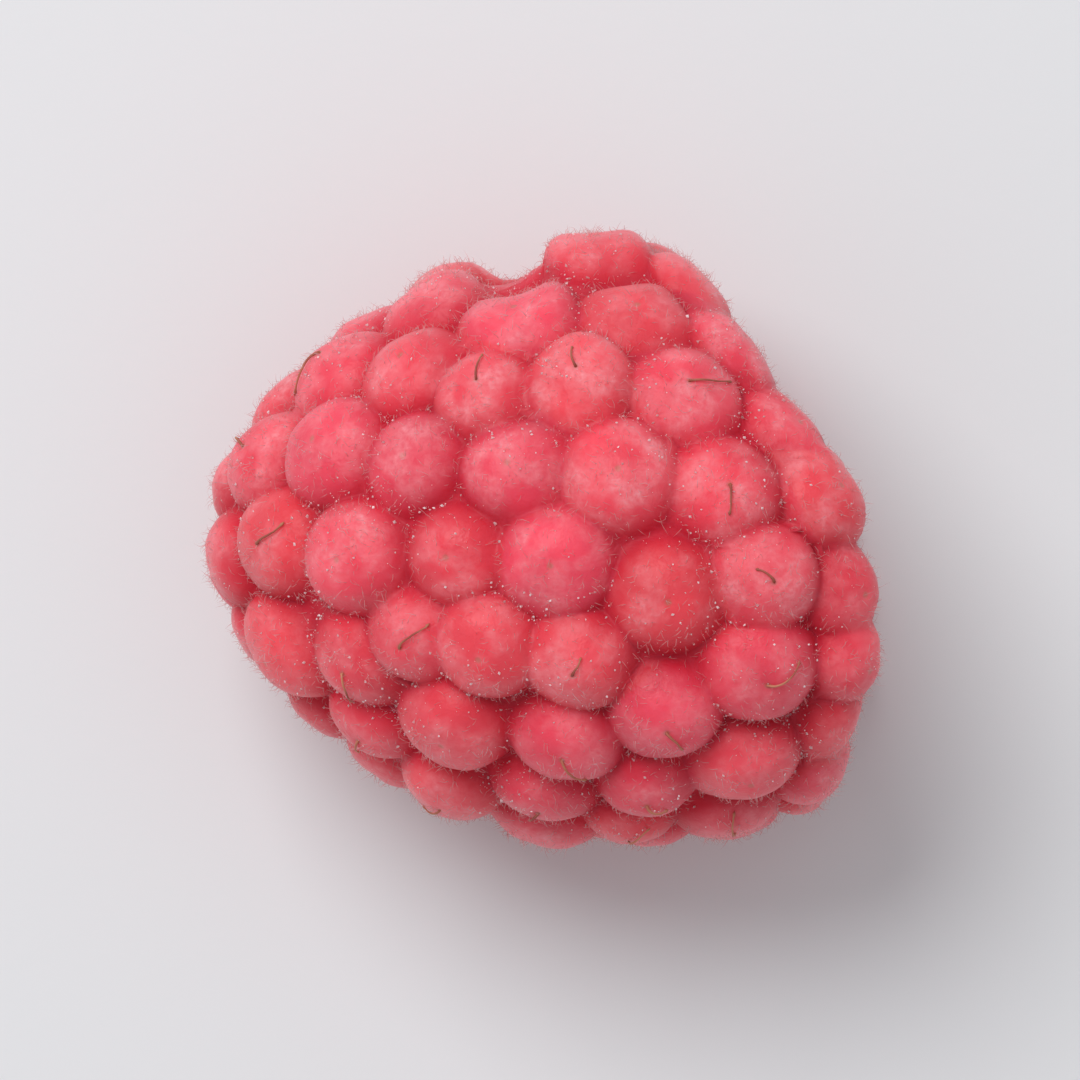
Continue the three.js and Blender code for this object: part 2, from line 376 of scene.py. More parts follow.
def dome(reach):
    """How far a drupelet has fallen, as a share of its fall to the crease, where reach is 1."""
    held = np.minimum(reach, PIT_REACH)
    round_fall = 1 - np.sqrt(1 - (ROUNDNESS * held) ** 2)
    return round_fall / (1 - math.sqrt(1 - ROUNDNESS**2)) + PIT_FALL * (reach - held)


def depth_below(grown, skin, d):
    """How many mm below the skin the surface is: the highest dome shows, or the pit's floor."""
    depth = np.empty(len(skin))
    fall = CREASE_SHARE * grown["gap"]
    for part in np.array_split(np.arange(len(skin)), 1 + len(skin) // BATCH):
        reach = np.linalg.norm(skin[part, None] - grown["crown"], axis=-1)
        shallow = relief(d[part])
        fallen = fall * dome(reach / (grown["gap"] / 2)) * shallow[:, None]
        highest = np.logaddexp.reduce((grown["rise"] - fallen) / FUSED, axis=1)
        pit = -PIT_DEPTH * shallow / FUSED
        depth[part] = -FUSED * np.logaddexp(highest, pit)
    return depth


def surface(grown, d):
    """The drupelets' surface in mm, and how many mm below the skin it is."""
    skin = skin_point(d)
    depth = depth_below(grown, skin, d)
    return skin - skin_normal(d) * depth[:, None], depth


def star(grown, i, border_d, ring_count):
    """Directions on the rings of drupelet i from its crown outwards, border left out."""
    d, side, up = (grown[key][i] for key in ("d", "side", "up"))
    angle = np.arccos(np.clip(border_d @ d, -1, 1))
    turn = np.arctan2(border_d @ up, border_d @ side)
    rings = [d[None]]
    shares = np.sin(np.linspace(0, RING_BEND, ring_count))[1:-1] / math.sin(RING_BEND)
    for t in (SCAR_RING, *shares):
        rings.append(
            np.cos(t * angle)[:, None] * d
            + np.sin(t * angle)[:, None]
            * (np.cos(turn)[:, None] * side + np.sin(turn)[:, None] * up)
        )
    return np.concatenate(rings)


def put_mesh(name, points, faces, material, smooth=True):
    """A mesh object from points in metres."""
    mesh = bpy.data.meshes.new(name)
    mesh.from_pydata(np.asarray(points).tolist(), [], faces)
    mesh.validate()
    if smooth:
        mesh.shade_smooth()
    else:
        mesh.shade_flat()
    mesh.materials.append(material)
    piece = bpy.data.objects.new(name, mesh)
    bpy.context.scene.collection.objects.link(piece)
    return piece


def put_attribute(mesh, name, values):
    layer = mesh.attributes.new(name, "FLOAT", "POINT")
    layer.data.foreach_set("value", np.asarray(values, dtype=np.float32))


def lay_in_place(points):
    """Moves points in mm to the berry's place in the frame: centred in its box, with the same top."""
    low, high = points.min(axis=0), points.max(axis=0)
    box_low, box_high = (np.array(corner) / MM for corner in BERRY_BOX)
    shift = (box_low + box_high) / 2 - (low + high) / 2
    shift[2] = box_high[2] - high[2]
    return points + shift


# --- Settings -------------------------------------------------------------------------------


def colour(name, description, code):
    return FloatVectorProperty(
        name=name,
        description=description,
        subtype="COLOR",
        size=3,
        min=0,
        max=1,
        default=linear(code),
    )


def length(name, description, millimetres):
    return FloatProperty(
        name=name,
        description=description,
        subtype="DISTANCE",
        unit="LENGTH",
        min=0,
        default=millimetres * MM,
    )


def count(name, description, default):
    return IntProperty(name=name, description=description, min=0, default=default)


class RaspberryFleshSettings(PropertyGroup):
    rings: count("Rings", "Rings of points from each crown to its crease", 13)
    crease_steps: count("Crease steps", "Points along each crease", 6)
    wrinkle: length("Wrinkle", "How far freezing has puckered the skin", 0.13)
    scar_depth: length("Scar depth", "Dimple where a style broke off", 0.05)
    crown: colour("Crown", "Top of the drupelets", "#ed485a")
    # painted shade: the crease colour is darker than the crown, for the shade between the drupelets
    crease: colour("Crease", "Flesh between the drupelets", "#c9273b")
    # painted shade: the dark wine red deep in the hollow stands for the shade inside it
    hollow: colour("Hollow", "Flesh deep in the hollow", "#6d1524")
    margin: colour("Margin", "Pale flesh round the mouth of the hollow", "#e9868a")
    # the bloom colour is partly frost and partly painted highlight and sheen
    bloom: colour("Bloom", "Frost bloom on the skin", "#f4a8ae")
    stub: colour("Stub", "Spot where a drupelet has left the core", "#e8b7ae")
    scar: colour("Scar", "Dry spot that a broken-off style has left", "#b4715a")


class RaspberryDownSettings(PropertyGroup):
    hairs: count("Hairs", "Hairs of the down", 12000)
    length: length("Length", "Longest hair", 0.42)
    thickness: length("Thickness", "Hair thickness at its root", 0.022)
    colour: colour("Colour", "Frosted down", "#ffe3e2")
    shade: colour("Shade", "Thin stretches of a hair", "#fab4b7")


class RaspberryStyleSettings(PropertyGroup):
    styles: count("Styles", "Dried styles that are still there", 20)
    length: length("Length", "Longest dried style", 2)
    thickness: length("Thickness", "Style thickness at its root", 0.1)
    colour: colour("Colour", "Dried straw", "#d08868")
    shade: colour("Shade", "Browned stretches", "#a04a3c")


class RaspberryFrostSettings(PropertyGroup):
    crystals: count("Crystals", "Frost crystals on the skin", 4500)
    size: length("Size", "Largest crystal", 0.13)
    colour: colour("Colour", "Frost", "#fbe6e8")


class RaspberryStageSettings(PropertyGroup):
    floor: colour("Floor", "Matt studio floor", "#e4e4e6")
    sky: colour("Sky", "Light from all round", "#f9fcff")
    daylight: FloatProperty(
        name="Soft light", description="Power of the large lamp", default=1.5, min=0
    )
    fill: FloatProperty(
        name="Fill", description="Strength of the light all round", default=0.5, min=0
    )


class RaspberrySettings(PropertyGroup):
    flesh: PointerProperty(type=RaspberryFleshSettings)
    down: PointerProperty(type=RaspberryDownSettings)
    styles: PointerProperty(type=RaspberryStyleSettings)
    frost: PointerProperty(type=RaspberryFrostSettings)
    stage: PointerProperty(type=RaspberryStageSettings)


# --- Materials ------------------------------------------------------------------------------

# how far across the patches of each pattern are, in mm
RIPE_PATCH = 1.9
BLOOM_PATCH = 1.1
BLOOM_GRAIN = 0.2  # real bloom is finer, and this is as coarse as it needs to be to show
HAIR_PATCH = 0.7
STYLE_PATCH = 1.1
RIME_PATCH = 0.4
FLOOR_GRAIN = 1 / 1.5

SCAR_EDGE = (0.05, 0.13)  # mm from the crown, between which the dry spot ends
STUB_EDGE = (0.1, 0.35)  # and the pale one, in the hollow
PULP_DEPTH = 1.1  # mm that red light travels in the flesh
PULP_RED = (1.0, 0.25, 0.2)  # and how far each colour of light does, as shares of it
SHEEN = "#ffe1e3"
SKIN_RELIEF, FLOOR_RELIEF = 0.05, 0.05  # mm


def add(tree, kind, settings, out=0):
    """Adds one node and gives its output; settings are its properties, values and links."""
    node = tree.nodes.new(kind)
    for key, value in settings.items():
        if isinstance(value, bpy.types.NodeSocket):
            tree.links.new(value, node.inputs[key])
        elif isinstance(key, int) or key in node.inputs:
            node.inputs[key].default_value = value
        else:
            setattr(node, key, value)
    return node.outputs[out] if node.outputs else None


def new_material(name):
    material = bpy.data.materials.new(name)
    material.use_nodes = True
    material.node_tree.nodes.clear()
    return material, material.node_tree


def rgba(c):
    return (*c, 1.0)


def per_metre(millimetres):
    """The scale of a pattern whose patches are this far across."""
    return 1 / (millimetres * MM)


def frozen_raspberry_flesh(settings):
    """Raspberry drupelet skin, ripe and frozen.

    A thin satin skin over wet red pulp, dulled by a bloom of fine frost. Its colour holds painted
    shade in the creases and the hollow, and painted highlight and sheen in the bloom.
    """
    material, tree = new_material("frozen raspberry flesh")
    masks = {}
    for name in ("fall", "tone", "inside", "faces_up_and_lit", "from crown", "sides"):
        masks[name] = add(tree, "ShaderNodeAttribute", {"attribute_name": name}, "Fac")

    place = add(tree, "ShaderNodeTexCoord", {}, "Object")
    patterns = {
        "ripening": {"Scale": per_metre(RIPE_PATCH), "Detail": 1},
        "rubbing": {"Scale": per_metre(BLOOM_PATCH), "Detail": 2, "Roughness": 0.55},
        "grain": {"Scale": per_metre(BLOOM_GRAIN), "Detail": 2, "Roughness": 0.7},
    }
    for name, pattern in patterns.items():
        masks[name] = add(tree, "ShaderNodeTexNoise", {"Vector": place, **pattern}, "Fac")

    # each reads another mask between two of its values, and gives two of its own there
    ramps = {
        # the colour darkens from crown to crease: painted shade where shade falls between the
        # drupelets
        "crease_shade": ("fall", 0.1, 0.95, 0, 1),
        # each drupelet has ripened by its own amount, from coral to crimson
        "hue": ("tone", 0, 1, 0.503, 0.4975),
        "value": ("ripening", 0.3, 0.7, 0.9, 1.08),
        # towards the mouth the flesh is pale, and deep in the hollow it darkens to wine red, which is
        # painted shade
        "mouth": ("inside", 0, 0.3, 0, 0.85),
        "deep": ("inside", 0.1, 0.8, 0, 1),
        # where a style broke off a dry spot is left
        "scar": ("from crown", *SCAR_EDGE, 0.6, 0),
        # and in the hollow a pale one, where the drupelet has left the core
        "pale spot": ("from crown", *STUB_EDGE, 0.55, 0),
        "hollow": ("inside", 0.05, 0.3, 0, 1),
        # the bloom is rubbed off in patches, and none lasts in the wet creases
        "left": ("rubbing", 0.4, 0.68, 0, 1),
        "grains": ("grain", 0.3, 0.75, 0.25, 1),
        "dry": ("fall", 0.25, 0.8, 1, 0.15),
        "thinned": ("left", 0, 1, 0.25, 0.55),
        "gloss": ("fall", 0.3, 0.9, 0.5, 0.15),
    }
    for name, (source, low, high, to_low, to_high) in ramps.items():
        ends = {"From Min": low, "From Max": high, "To Min": to_low, "To Max": to_high}
        masks[name] = add(tree, "ShaderNodeMapRange", {"Value": masks[source], **ends})

    # and each of these is two of them multiplied
    products = {
        "stub": ("pale spot", "hollow"),
        # bloom is laid on faces turned up, and more on the side towards the lamp: frost, and with it
        # painted highlight
        "settled": ("faces_up_and_lit", "dry"),
        "frosting": ("left", "grains"),
        "bloom": ("frosting", "settled"),
        "veil": ("bloom", 0.5),
        # on the steep sides the bloom colour is laid on thicker: partly frost, partly painted sheen,
        # the pale rim that grazing light gives the outline
        "steep": ("sides", "dry"),
        "broken": ("grains", "thinned"),
        "margin": ("steep", "broken"),
        "sheen": ("dry", 0.22),
    }
    for name, (one, other) in products.items():
        factors = {0: masks[one], 1: masks.get(other, other)}
        masks[name] = add(tree, "ShaderNodeMath", {"operation": "MULTIPLY", **factors})

    # painted shade: the crown colour darkens to the crease colour down in each crease
    ripe = {0: masks["crease_shade"], 6: rgba(settings.crown), 7: rgba(settings.crease)}
    ripe = add(tree, "ShaderNodeMix", {"data_type": "RGBA", **ripe}, 2)
    ripened = {"Color": ripe, "Hue": masks["hue"], "Value": masks["value"]}
    body = add(tree, "ShaderNodeHueSaturation", ripened)
    # painted shade: the pale margin colour darkens to the hollow colour deeper in
    hollow = {0: masks["deep"], 6: rgba(settings.margin), 7: rgba(settings.hollow)}
    hollow = add(tree, "ShaderNodeMix", {"data_type": "RGBA", **hollow}, 2)
    layers = {
        "mouth": hollow,
        "scar": rgba(settings.scar),
        "stub": rgba(settings.stub),
        "veil": rgba(settings.bloom),
        "margin": rgba(settings.bloom),
    }
    for name, above in layers.items():
        layer = {0: masks[name], 6: body, 7: above}
        body = add(tree, "ShaderNodeMix", {"data_type": "RGBA", **layer}, 2)

    # bloom is rougher than the bare skin, and stands up from it in grains
    rough = {"Value": masks["bloom"], "From Max": 0.6, "To Min": 0.4, "To Max": 0.7}
    bump = {"Height": masks["grains"], "Strength": 0.35, "Distance": SKIN_RELIEF * MM}
    skin = {
        "Base Color": body,
        "Roughness": add(tree, "ShaderNodeMapRange", rough),
        "IOR": 1.4,
        "Normal": add(tree, "ShaderNodeBump", bump),
        "Subsurface Weight": 0.45,
        "Subsurface Radius": PULP_RED,
        "Subsurface Scale": PULP_DEPTH * MM,
        "Specular IOR Level": masks["gloss"],
        "Sheen Weight": masks["sheen"],
        "Sheen Roughness": 0.45,
        "Sheen Tint": rgba(linear(SHEEN)),
    }
    shader = add(tree, "ShaderNodeBsdfPrincipled", skin)
    add(tree, "ShaderNodeOutputMaterial", {"Surface": shader})
    return material


def plant_fibre(name, settings, millimetres, roughness, glow, clear):
    """Fine plant fibre, whose colour drifts along and between fibres.

    Glow is the share of light that it scatters on through, clear the share that passes straight.
    """
    material, tree = new_material(name)
    place = add(tree, "ShaderNodeTexCoord", {}, "Object")
    pattern = {"Vector": place, "Scale": per_metre(millimetres), "Detail": 2}
    drift = add(tree, "ShaderNodeTexNoise", pattern, "Fac")
    drift = add(tree, "ShaderNodeMapRange", {"Value": drift, "From Min": 0.35, "From Max": 0.65})
    tint = {0: drift, 6: rgba(settings.colour), 7: rgba(settings.shade)}
    tint = add(tree, "ShaderNodeMix", {"data_type": "RGBA", **tint}, 2)
    fibre = {"Base Color": tint, "Roughness": roughness, "IOR": 1.5}
    surface = add(tree, "ShaderNodeBsdfPrincipled", fibre)
    through = add(tree, "ShaderNodeBsdfTranslucent", {"Color": tint})
    straight = add(tree, "ShaderNodeBsdfTransparent", {})
    lit = add(tree, "ShaderNodeMixShader", {"Fac": glow, 1: surface, 2: through})
    shader = add(tree, "ShaderNodeMixShader", {"Fac": clear, 1: lit, 2: straight})
    add(tree, "ShaderNodeOutputMaterial", {"Surface": shader})
    return material


def frosted_down(settings):
    """Down of a ripe raspberry: hollow clear cells, each a pale glint that hardly shades."""
    return plant_fibre("frosted down", settings, HAIR_PATCH, 0.5, glow=0.5, clear=0.45)


def dried_style(settings):
    """Dried raspberry style: a straw-coloured stalk, browned in stretches and almost dull."""
    return plant_fibre("dried style", settings, STYLE_PATCH, 0.6, glow=0.15, clear=0.0)


def rime(settings):
    """Rime, fine crystals of clear ice: white where packed with air, glassy on their faces."""
    material, tree = new_material("rime")
    place = add(tree, "ShaderNodeTexCoord", {}, "Object")
    pattern = {"Vector": place, "Scale": per_metre(RIME_PATCH), "Detail": 2}
    packed = add(tree, "ShaderNodeTexNoise", pattern, "Fac")
    ends = {"From Min": 0.35, "From Max": 0.65, "To Min": 0.15, "To Max": 0.75}
    ice = {
        "Base Color": rgba(settings.colour),
        "Roughness": 0.28,
        "IOR": 1.31,
        "Transmission Weight": add(tree, "ShaderNodeMapRange", {"Value": packed, **ends}),
    }
    shader = add(tree, "ShaderNodeBsdfPrincipled", ice)
    add(tree, "ShaderNodeOutputMaterial", {"Surface": shader})
    return material


def matt_painted_floor(settings):
    """Matt paint rolled on a studio floor: even, with a faint grain."""
    material, tree = new_material("matt painted studio floor")
    place = add(tree, "ShaderNodeTexCoord", {}, "Object")
    pattern = {"Vector": place, "Scale": per_metre(FLOOR_GRAIN), "Detail": 2}
    grain = add(tree, "ShaderNodeTexNoise", pattern, "Fac")
    bump = {"Height": grain, "Strength": 0.1, "Distance": FLOOR_RELIEF * MM}
    paint = {
        "Base Color": rgba(settings.floor),
        "Roughness": 0.7,
        "Normal": add(tree, "ShaderNodeBump", bump),
    }
    shader = add(tree, "ShaderNodeBsdfPrincipled", paint)
    add(tree, "ShaderNodeOutputMaterial", {"Surface": shader})
    return material


# --- Flesh ----------------------------------------------------------------------------------

RIPENESS_SEED = 3
PUCKERS = ((1.6, 1), (0.6, 0.3))  # mm across and depth of the dents that freezing puckers
NO_CROWN = 9.0  # mm to the crown, for the points of a crease, which no drupelet owns
# painted highlight: the bloom on faces turned up is partly frost and partly painted light from above
BLOOM_AND_HIGHLIGHT_FACING = (-0.6, 0.8)  # upwardness from which bloom settles, and at which it's full
# on the side towards the lamp the bloom grows by up to these shares: painted highlight
RUBBED, LIT_SIDE_BLOOM = (0.3, 0.9), (0.95, 1.4)
MOUTH, DEPTHS = (-0.1, 0.15), (0.0, 0.9)  # along X on the ball: where the outside ends, and in
# the pale sides are partly frost and partly painted sheen, the rim that grazing light gives the
# outline
STEEP = (0.1, 0.5)  # upwardness of the skin up to which its sides are pale, and where that ends


def settle_piece(piece):
    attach(piece, "root")


def grow_skin(settings):
    """One closed skin of all the drupelets.

    It gives points in mm, faces, each point's depth, owner and direction, and the crowns' points.
    """
    grown = drupelets()
    steps, rings = settings.crease_steps, settings.rings
    directions = [grown["junction"]]
    total = len(grown["junction"])
    owners = [np.full(total, -1)]
    crease_start = {}
    for cell in grown["cells"]:
        for a, b in zip(cell, cell[1:] + cell[:1]):
            if (b, a) not in crease_start:
                t = (np.arange(1, steps) / steps)[:, None]
                directions.append(unit(mix(directions[0][a], directions[0][b], t)))
                owners.append(np.full(steps - 1, -1))
                crease_start[a, b] = total
                total += steps - 1
    border = np.concatenate(directions)
    faces, crowns = [], []
    for i, cell in enumerate(grown["cells"]):
        loop = []
        for a, b in zip(cell, cell[1:] + cell[:1]):
            loop.append(a)
            if (a, b) in crease_start:
                loop += range(crease_start[a, b], crease_start[a, b] + steps - 1)
            else:
                start = crease_start[b, a]
                loop += reversed(range(start, start + steps - 1))
        n = len(loop)
        directions.append(star(grown, i, border[loop], rings))
        owners.append(np.full(len(directions[-1]), i))
        crown = total
        crowns.append(crown)
        ring = [list(range(crown + 1 + k * n, crown + 1 + (k + 1) * n)) for k in range(rings - 1)]
        ring.append(loop)
        total += len(directions[-1])
        for k in range(n):
            m = (k + 1) % n
            faces.append((crown, ring[0][k], ring[0][m]))
            for inner, outer in zip(ring, ring[1:]):
                faces.append((inner[k], outer[k], outer[m], inner[m]))
    directions = np.concatenate(directions)
    points, depth = surface(grown, directions)
    return points, faces, depth, np.concatenate(owners), directions, crowns


def point_normals(points, faces):
    """Area-weighted normals of the points of a mesh of triangles and quads."""
    normals = np.zeros_like(points)
    for size in (3, 4):
        group = np.array([f for f in faces if len(f) == size])
        corners = points[group]
        if size == 3:
            n = np.cross(corners[:, 1] - corners[:, 0], corners[:, 2] - corners[:, 0])
        else:
            n = np.cross(corners[:, 2] - corners[:, 0], corners[:, 3] - corners[:, 1])
        for k in range(size):
            np.add.at(normals, group[:, k], n)
    return unit(normals)


def puckering(p):
    """How far freezing has lifted or sunk the skin at a point, from about -1 to 1."""
    return sum(depth * noise.noise(Vector(p) / across) for across, depth in PUCKERS)


class RASPBERRY_OT_grow_flesh(Operator):
    """Grow the drupelets as one closed skin"""

    bl_idname = "raspberry.grow_flesh"
    bl_label = "Grow flesh"

    def execute(self, context):
        settings = context.scene.raspberry.flesh
        points, faces, depth, owner, direction, crowns = grow_skin(settings)
        fall = np.clip(depth / (CREASE_SHARE * PITCH), 0, 1)
        normals = point_normals(points, faces)
        from_crown = np.full(len(points), NO_CROWN)
        for i, crown in enumerate(crowns):
            own = owner == i
            from_crown[own] = np.linalg.norm(points[own] - points[crown], axis=1)
        pucker = np.array([puckering(p) for p in points])
        lift = pucker * (settings.wrinkle / MM) * (1 - fall**2)
        lift -= settings.scar_depth / MM * np.exp(-((from_crown / SCAR_REACH) ** 2))
        points = lay_in_place(points + normals * lift[:, None])
        # its weight presses the lowest crowns flat on the floor
        points[:, 2] = np.maximum(points[:, 2], 0)
        material = frozen_raspberry_flesh(settings)
        piece = put_mesh("raspberry_flesh", points * MM, faces, material)

        ranks = drupelets()["rank"]
        ripeness = np.random.default_rng(RIPENESS_SEED).random(len(ranks))
        tone = np.where(owner < 0, 0.5, ripeness[owner])
        # painted highlight: more bloom is laid on the side that is rubbed smoother, which is the side
        # towards the lamp
        lit_side_bloom = mix(*LIT_SIDE_BLOOM, smoothstep(direction @ SMOOTH_SIDE, *RUBBED))
        outside = 1 - smoothstep(direction[:, 0], *MOUTH)
        level = smoothstep(np.abs(unit(skin_normal(direction))[:, 2]), *STEEP)
        put_attribute(piece.data, "fall", fall)
        put_attribute(piece.data, "tone", mix(tone, 0.5, fall**3))
        put_attribute(piece.data, "inside", smoothstep(direction[:, 0], *DEPTHS))
        put_attribute(piece.data, "faces_up_and_lit", smoothstep(normals[:, 2], *BLOOM_AND_HIGHLIGHT_FACING) * lit_side_bloom)
        put_attribute(piece.data, "from crown", from_crown)
        # the steep sides outside take pale bloom: partly frost, partly painted sheen at the outline
        put_attribute(piece.data, "sides", outside * (1 - level))
        piece["crowns"] = [crown for crown, rank in zip(crowns, ranks) if rank == "body"]
        settle_piece(piece)
        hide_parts("raspberry")
        return {"FINISHED"}


# --- What sits on it ------------------------------------------------------------------------

DOWN_SEED, STYLE_SEED, FROST_SEED = 11, 5, 23

HAIR_SIDES = 3
HAIR_LENGTHS, HAIR_THICKNESSES = (0.45, 1), (0.75, 1)  # shares of the largest
HAIR_TAPER = np.array((1, 0.75, 0))  # at its root, middle and tip
HAIR_LEAN, HAIR_BEND = (0.5, 1.1), (0.2, 0.6)  # radians off the normal, and more at the tip
HAIR_TWIST = 0.35  # how far the tip turns aside
HAIR_ROOT = 0.012  # mm below the skin
HAIR_FLOOR = 0.05  # mm above the floor that hairs keep
BARE_FOOT = (0.5, 0.9)  # mm above the floor, between which the down begins
BARE_MOUTH = (0, 0.04)  # of the attribute "inside", between which it ends
CROWN_DOWN, CREASE_LOSS = 1.2, 0.8  # how thick it is on a crown, and less in a crease

LOWEST_STYLE = 8.5  # mm; below, they're rubbed off
STYLE_STEPS, STYLE_SIDES = 14, 6
STYLE_LENGTHS, STYLE_THICKNESSES = (0.4, 1), (0.8, 1)
# along a style: thin from the root on, then the little head of its stigma
STYLE_PLACES = (0, 0.3, 0.8, 0.88, 0.95, 1)
STYLE_SHARES = (1, 0.75, 0.55, 0.6, 1.3, 0)
STYLE_ROOT, STYLE_FOOT = 0.08, 0.05  # mm below and above the skin where it starts
STYLE_CLEARANCE, STYLE_ARCH = 0.03, 0.08  # mm above the skin at its ends, and more in between
ARCH_SKEW = 0.7  # under 1, the arch is highest near the root
STYLE_SWING, STYLE_WANDER = 0.08, 0.07  # the most that it turns at each step, and strays

FROST_PATCH, FROST_EDGE = 2.4, (-0.25, 0.35)  # mm across, and the noise between which it ends
FROST_FACING = (-0.5, 0.5)  # upwardness of the skin from which frost settles, and is in full
FROST_CROWN, FROST_BARE = 0.3, 0.15  # what is left on the crowns, and between the patches
CRYSTAL_SIZES = (0.25, 1)  # shares of the largest
CRYSTAL_POWER = 3  # most crystals are small: their sizes follow a steep power
CRYSTAL_TIPS = (0.45, 1.2)  # how far the tips stand out, in radii
CRYSTAL_LIFT = 0.3  # how far the middle is off the skin, in radii
FROST_FLOOR = 0.6  # mm above the floor, below which no frost settles
OCTAHEDRON = [
    *((0, 1, 2), (1, 3, 2), (3, 4, 2), (4, 0, 2)),
    *((1, 0, 5), (3, 1, 5), (4, 3, 5), (0, 4, 5)),
]


class Skin:
    """The grown flesh as triangles in mm, for what sits on it."""

    def __init__(self):
        flesh = bpy.data.objects["raspberry_flesh"]
        mesh = flesh.data
        mesh.calc_loop_triangles()
        points = np.empty(3 * len(mesh.vertices))
        mesh.vertices.foreach_get("co", points)
        normals = np.empty(3 * len(mesh.vertices))
        mesh.vertices.foreach_get("normal", normals)
        corners = np.empty(3 * len(mesh.loop_triangles), dtype=np.int32)
        mesh.loop_triangles.foreach_get("vertices", corners)
        self.points = points.reshape(-1, 3) / MM
        self.normals = normals.reshape(-1, 3)
        self.corners = corners.reshape(-1, 3)
        self.fall = self.read(mesh, "fall")
        self.inside = self.read(mesh, "inside")
        self.crowns = np.array(flesh["crowns"])
        a, b, c = (self.points[self.corners[:, i]] for i in range(3))
        self.area = np.linalg.norm(np.cross(b - a, c - a), axis=1) / 2
        self.middle = (a + b + c) / 3
        self.facing = unit(self.normals[self.corners].sum(axis=1))

    def read(self, mesh, name):
        """An attribute of the skin, as its mean over each triangle."""
        values = np.empty(len(mesh.vertices), dtype=np.float32)
        mesh.attributes[name].data.foreach_get("value", values)
        return values[self.corners].mean(axis=1)

    def scatter(self, rng, number, density):
        """Random places on the skin and their normals, by a density for each triangle."""
        share = np.cumsum(self.area * density)
        picked = np.searchsorted(share, rng.random(number) * share[-1])
        u, v = rng.random((2, number))
        over = u + v > 1
        u, v = np.where(over, 1 - u, u), np.where(over, 1 - v, v)
        weights = np.stack([1 - u - v, u, v], axis=1)[..., None]
        corners = self.corners[picked]
        return (
            (self.points[corners] * weights).sum(axis=1),
            unit((self.normals[corners] * weights).sum(axis=1)),
        )


def copies(faces, number, size):
    """The same faces for each of a number of shapes, whose points follow on, size for each."""
    starts = np.arange(number)[:, None, None] * size
    return (np.array(faces) + starts).reshape(-1, 3).tolist()


def tapering_threads(paths, thickness, sides):
    """Closed threads along n paths of k points in mm, n by k thick; each ends in a point."""
    number, steps = paths.shape[:2]
    along = unit(np.gradient(paths, axis=1))
    flattest = np.eye(3)[np.abs(along.mean(axis=1)).argmin(axis=1)][:, None]
    across = unit(np.cross(along, flattest))
    second = np.cross(along, across)
    turn = np.arange(sides) / sides * math.tau
    ring = (
        np.cos(turn)[:, None] * across[:, :-1, None]
        + np.sin(turn)[:, None] * second[:, :-1, None]
    )
    ring = paths[:, :-1, None] + ring * thickness[:, :-1, None, None] / 2
    points = np.concatenate([ring.reshape(number, -1, 3), paths[:, -1:]], axis=1)
    faces = [(0, i + 1, i) for i in range(1, sides - 1)]
    for k in range(steps - 2):
        for i in range(sides):
            a, b = k * sides + i, k * sides + (i + 1) % sides
            faces += [(a, b, b + sides), (a, b + sides, a + sides)]
    last = (steps - 2) * sides
    tip = last + sides
    faces += [(last + i, last + (i + 1) % sides, tip) for i in range(sides)]
    return points.reshape(-1, 3), copies(faces, number, points.shape[1])


def any_way_along(rng, normals):
    """A random direction along the skin for each normal."""
    return unit(np.cross(normals, rng.normal(size=normals.shape)))


def random_turns(rng, number):
    """Random rotations, as matrices to multiply rows of points by."""
    w, x, y, z = unit(rng.normal(size=(number, 4))).T
    return np.array(
        [
            [1 - 2 * (y * y + z * z), 2 * (x * y - z * w), 2 * (x * z + y * w)],
            [2 * (x * y + z * w), 1 - 2 * (x * x + z * z), 2 * (y * z - x * w)],
            [2 * (x * z - y * w), 2 * (y * z + x * w), 1 - 2 * (x * x + y * y)],
        ]
    ).transpose(2, 0, 1)


def style_path(rng, flesh, crown, longest):
    """The points of a style that lies over the skin, from a crown on."""
    place, normal, _, _ = flesh.find_nearest(crown)
    size = longest * rng.uniform(*STYLE_LENGTHS)
    way = Vector(any_way_along(rng, np.array([normal]))[0])
    swing = rng.uniform(-STYLE_SWING, STYLE_SWING)
    path = [place - STYLE_ROOT * normal]
    here = place + STYLE_FOOT * normal
    for k in range(1, STYLE_STEPS):
        path.append(here.copy())
        way = (way - way.dot(normal) * normal).normalized()
        stray = STYLE_WANDER * Vector(rng.normal(size=3))
        way = (way + swing * normal.cross(way) + stray).normalized()
        below, normal, _, _ = flesh.find_nearest(here + way * size / STYLE_STEPS)
        arch = STYLE_ARCH * math.sin(math.pi * (k / STYLE_STEPS) ** ARCH_SKEW)
        here = below + normal * (STYLE_CLEARANCE + arch)
    return [list(p) for p in path]


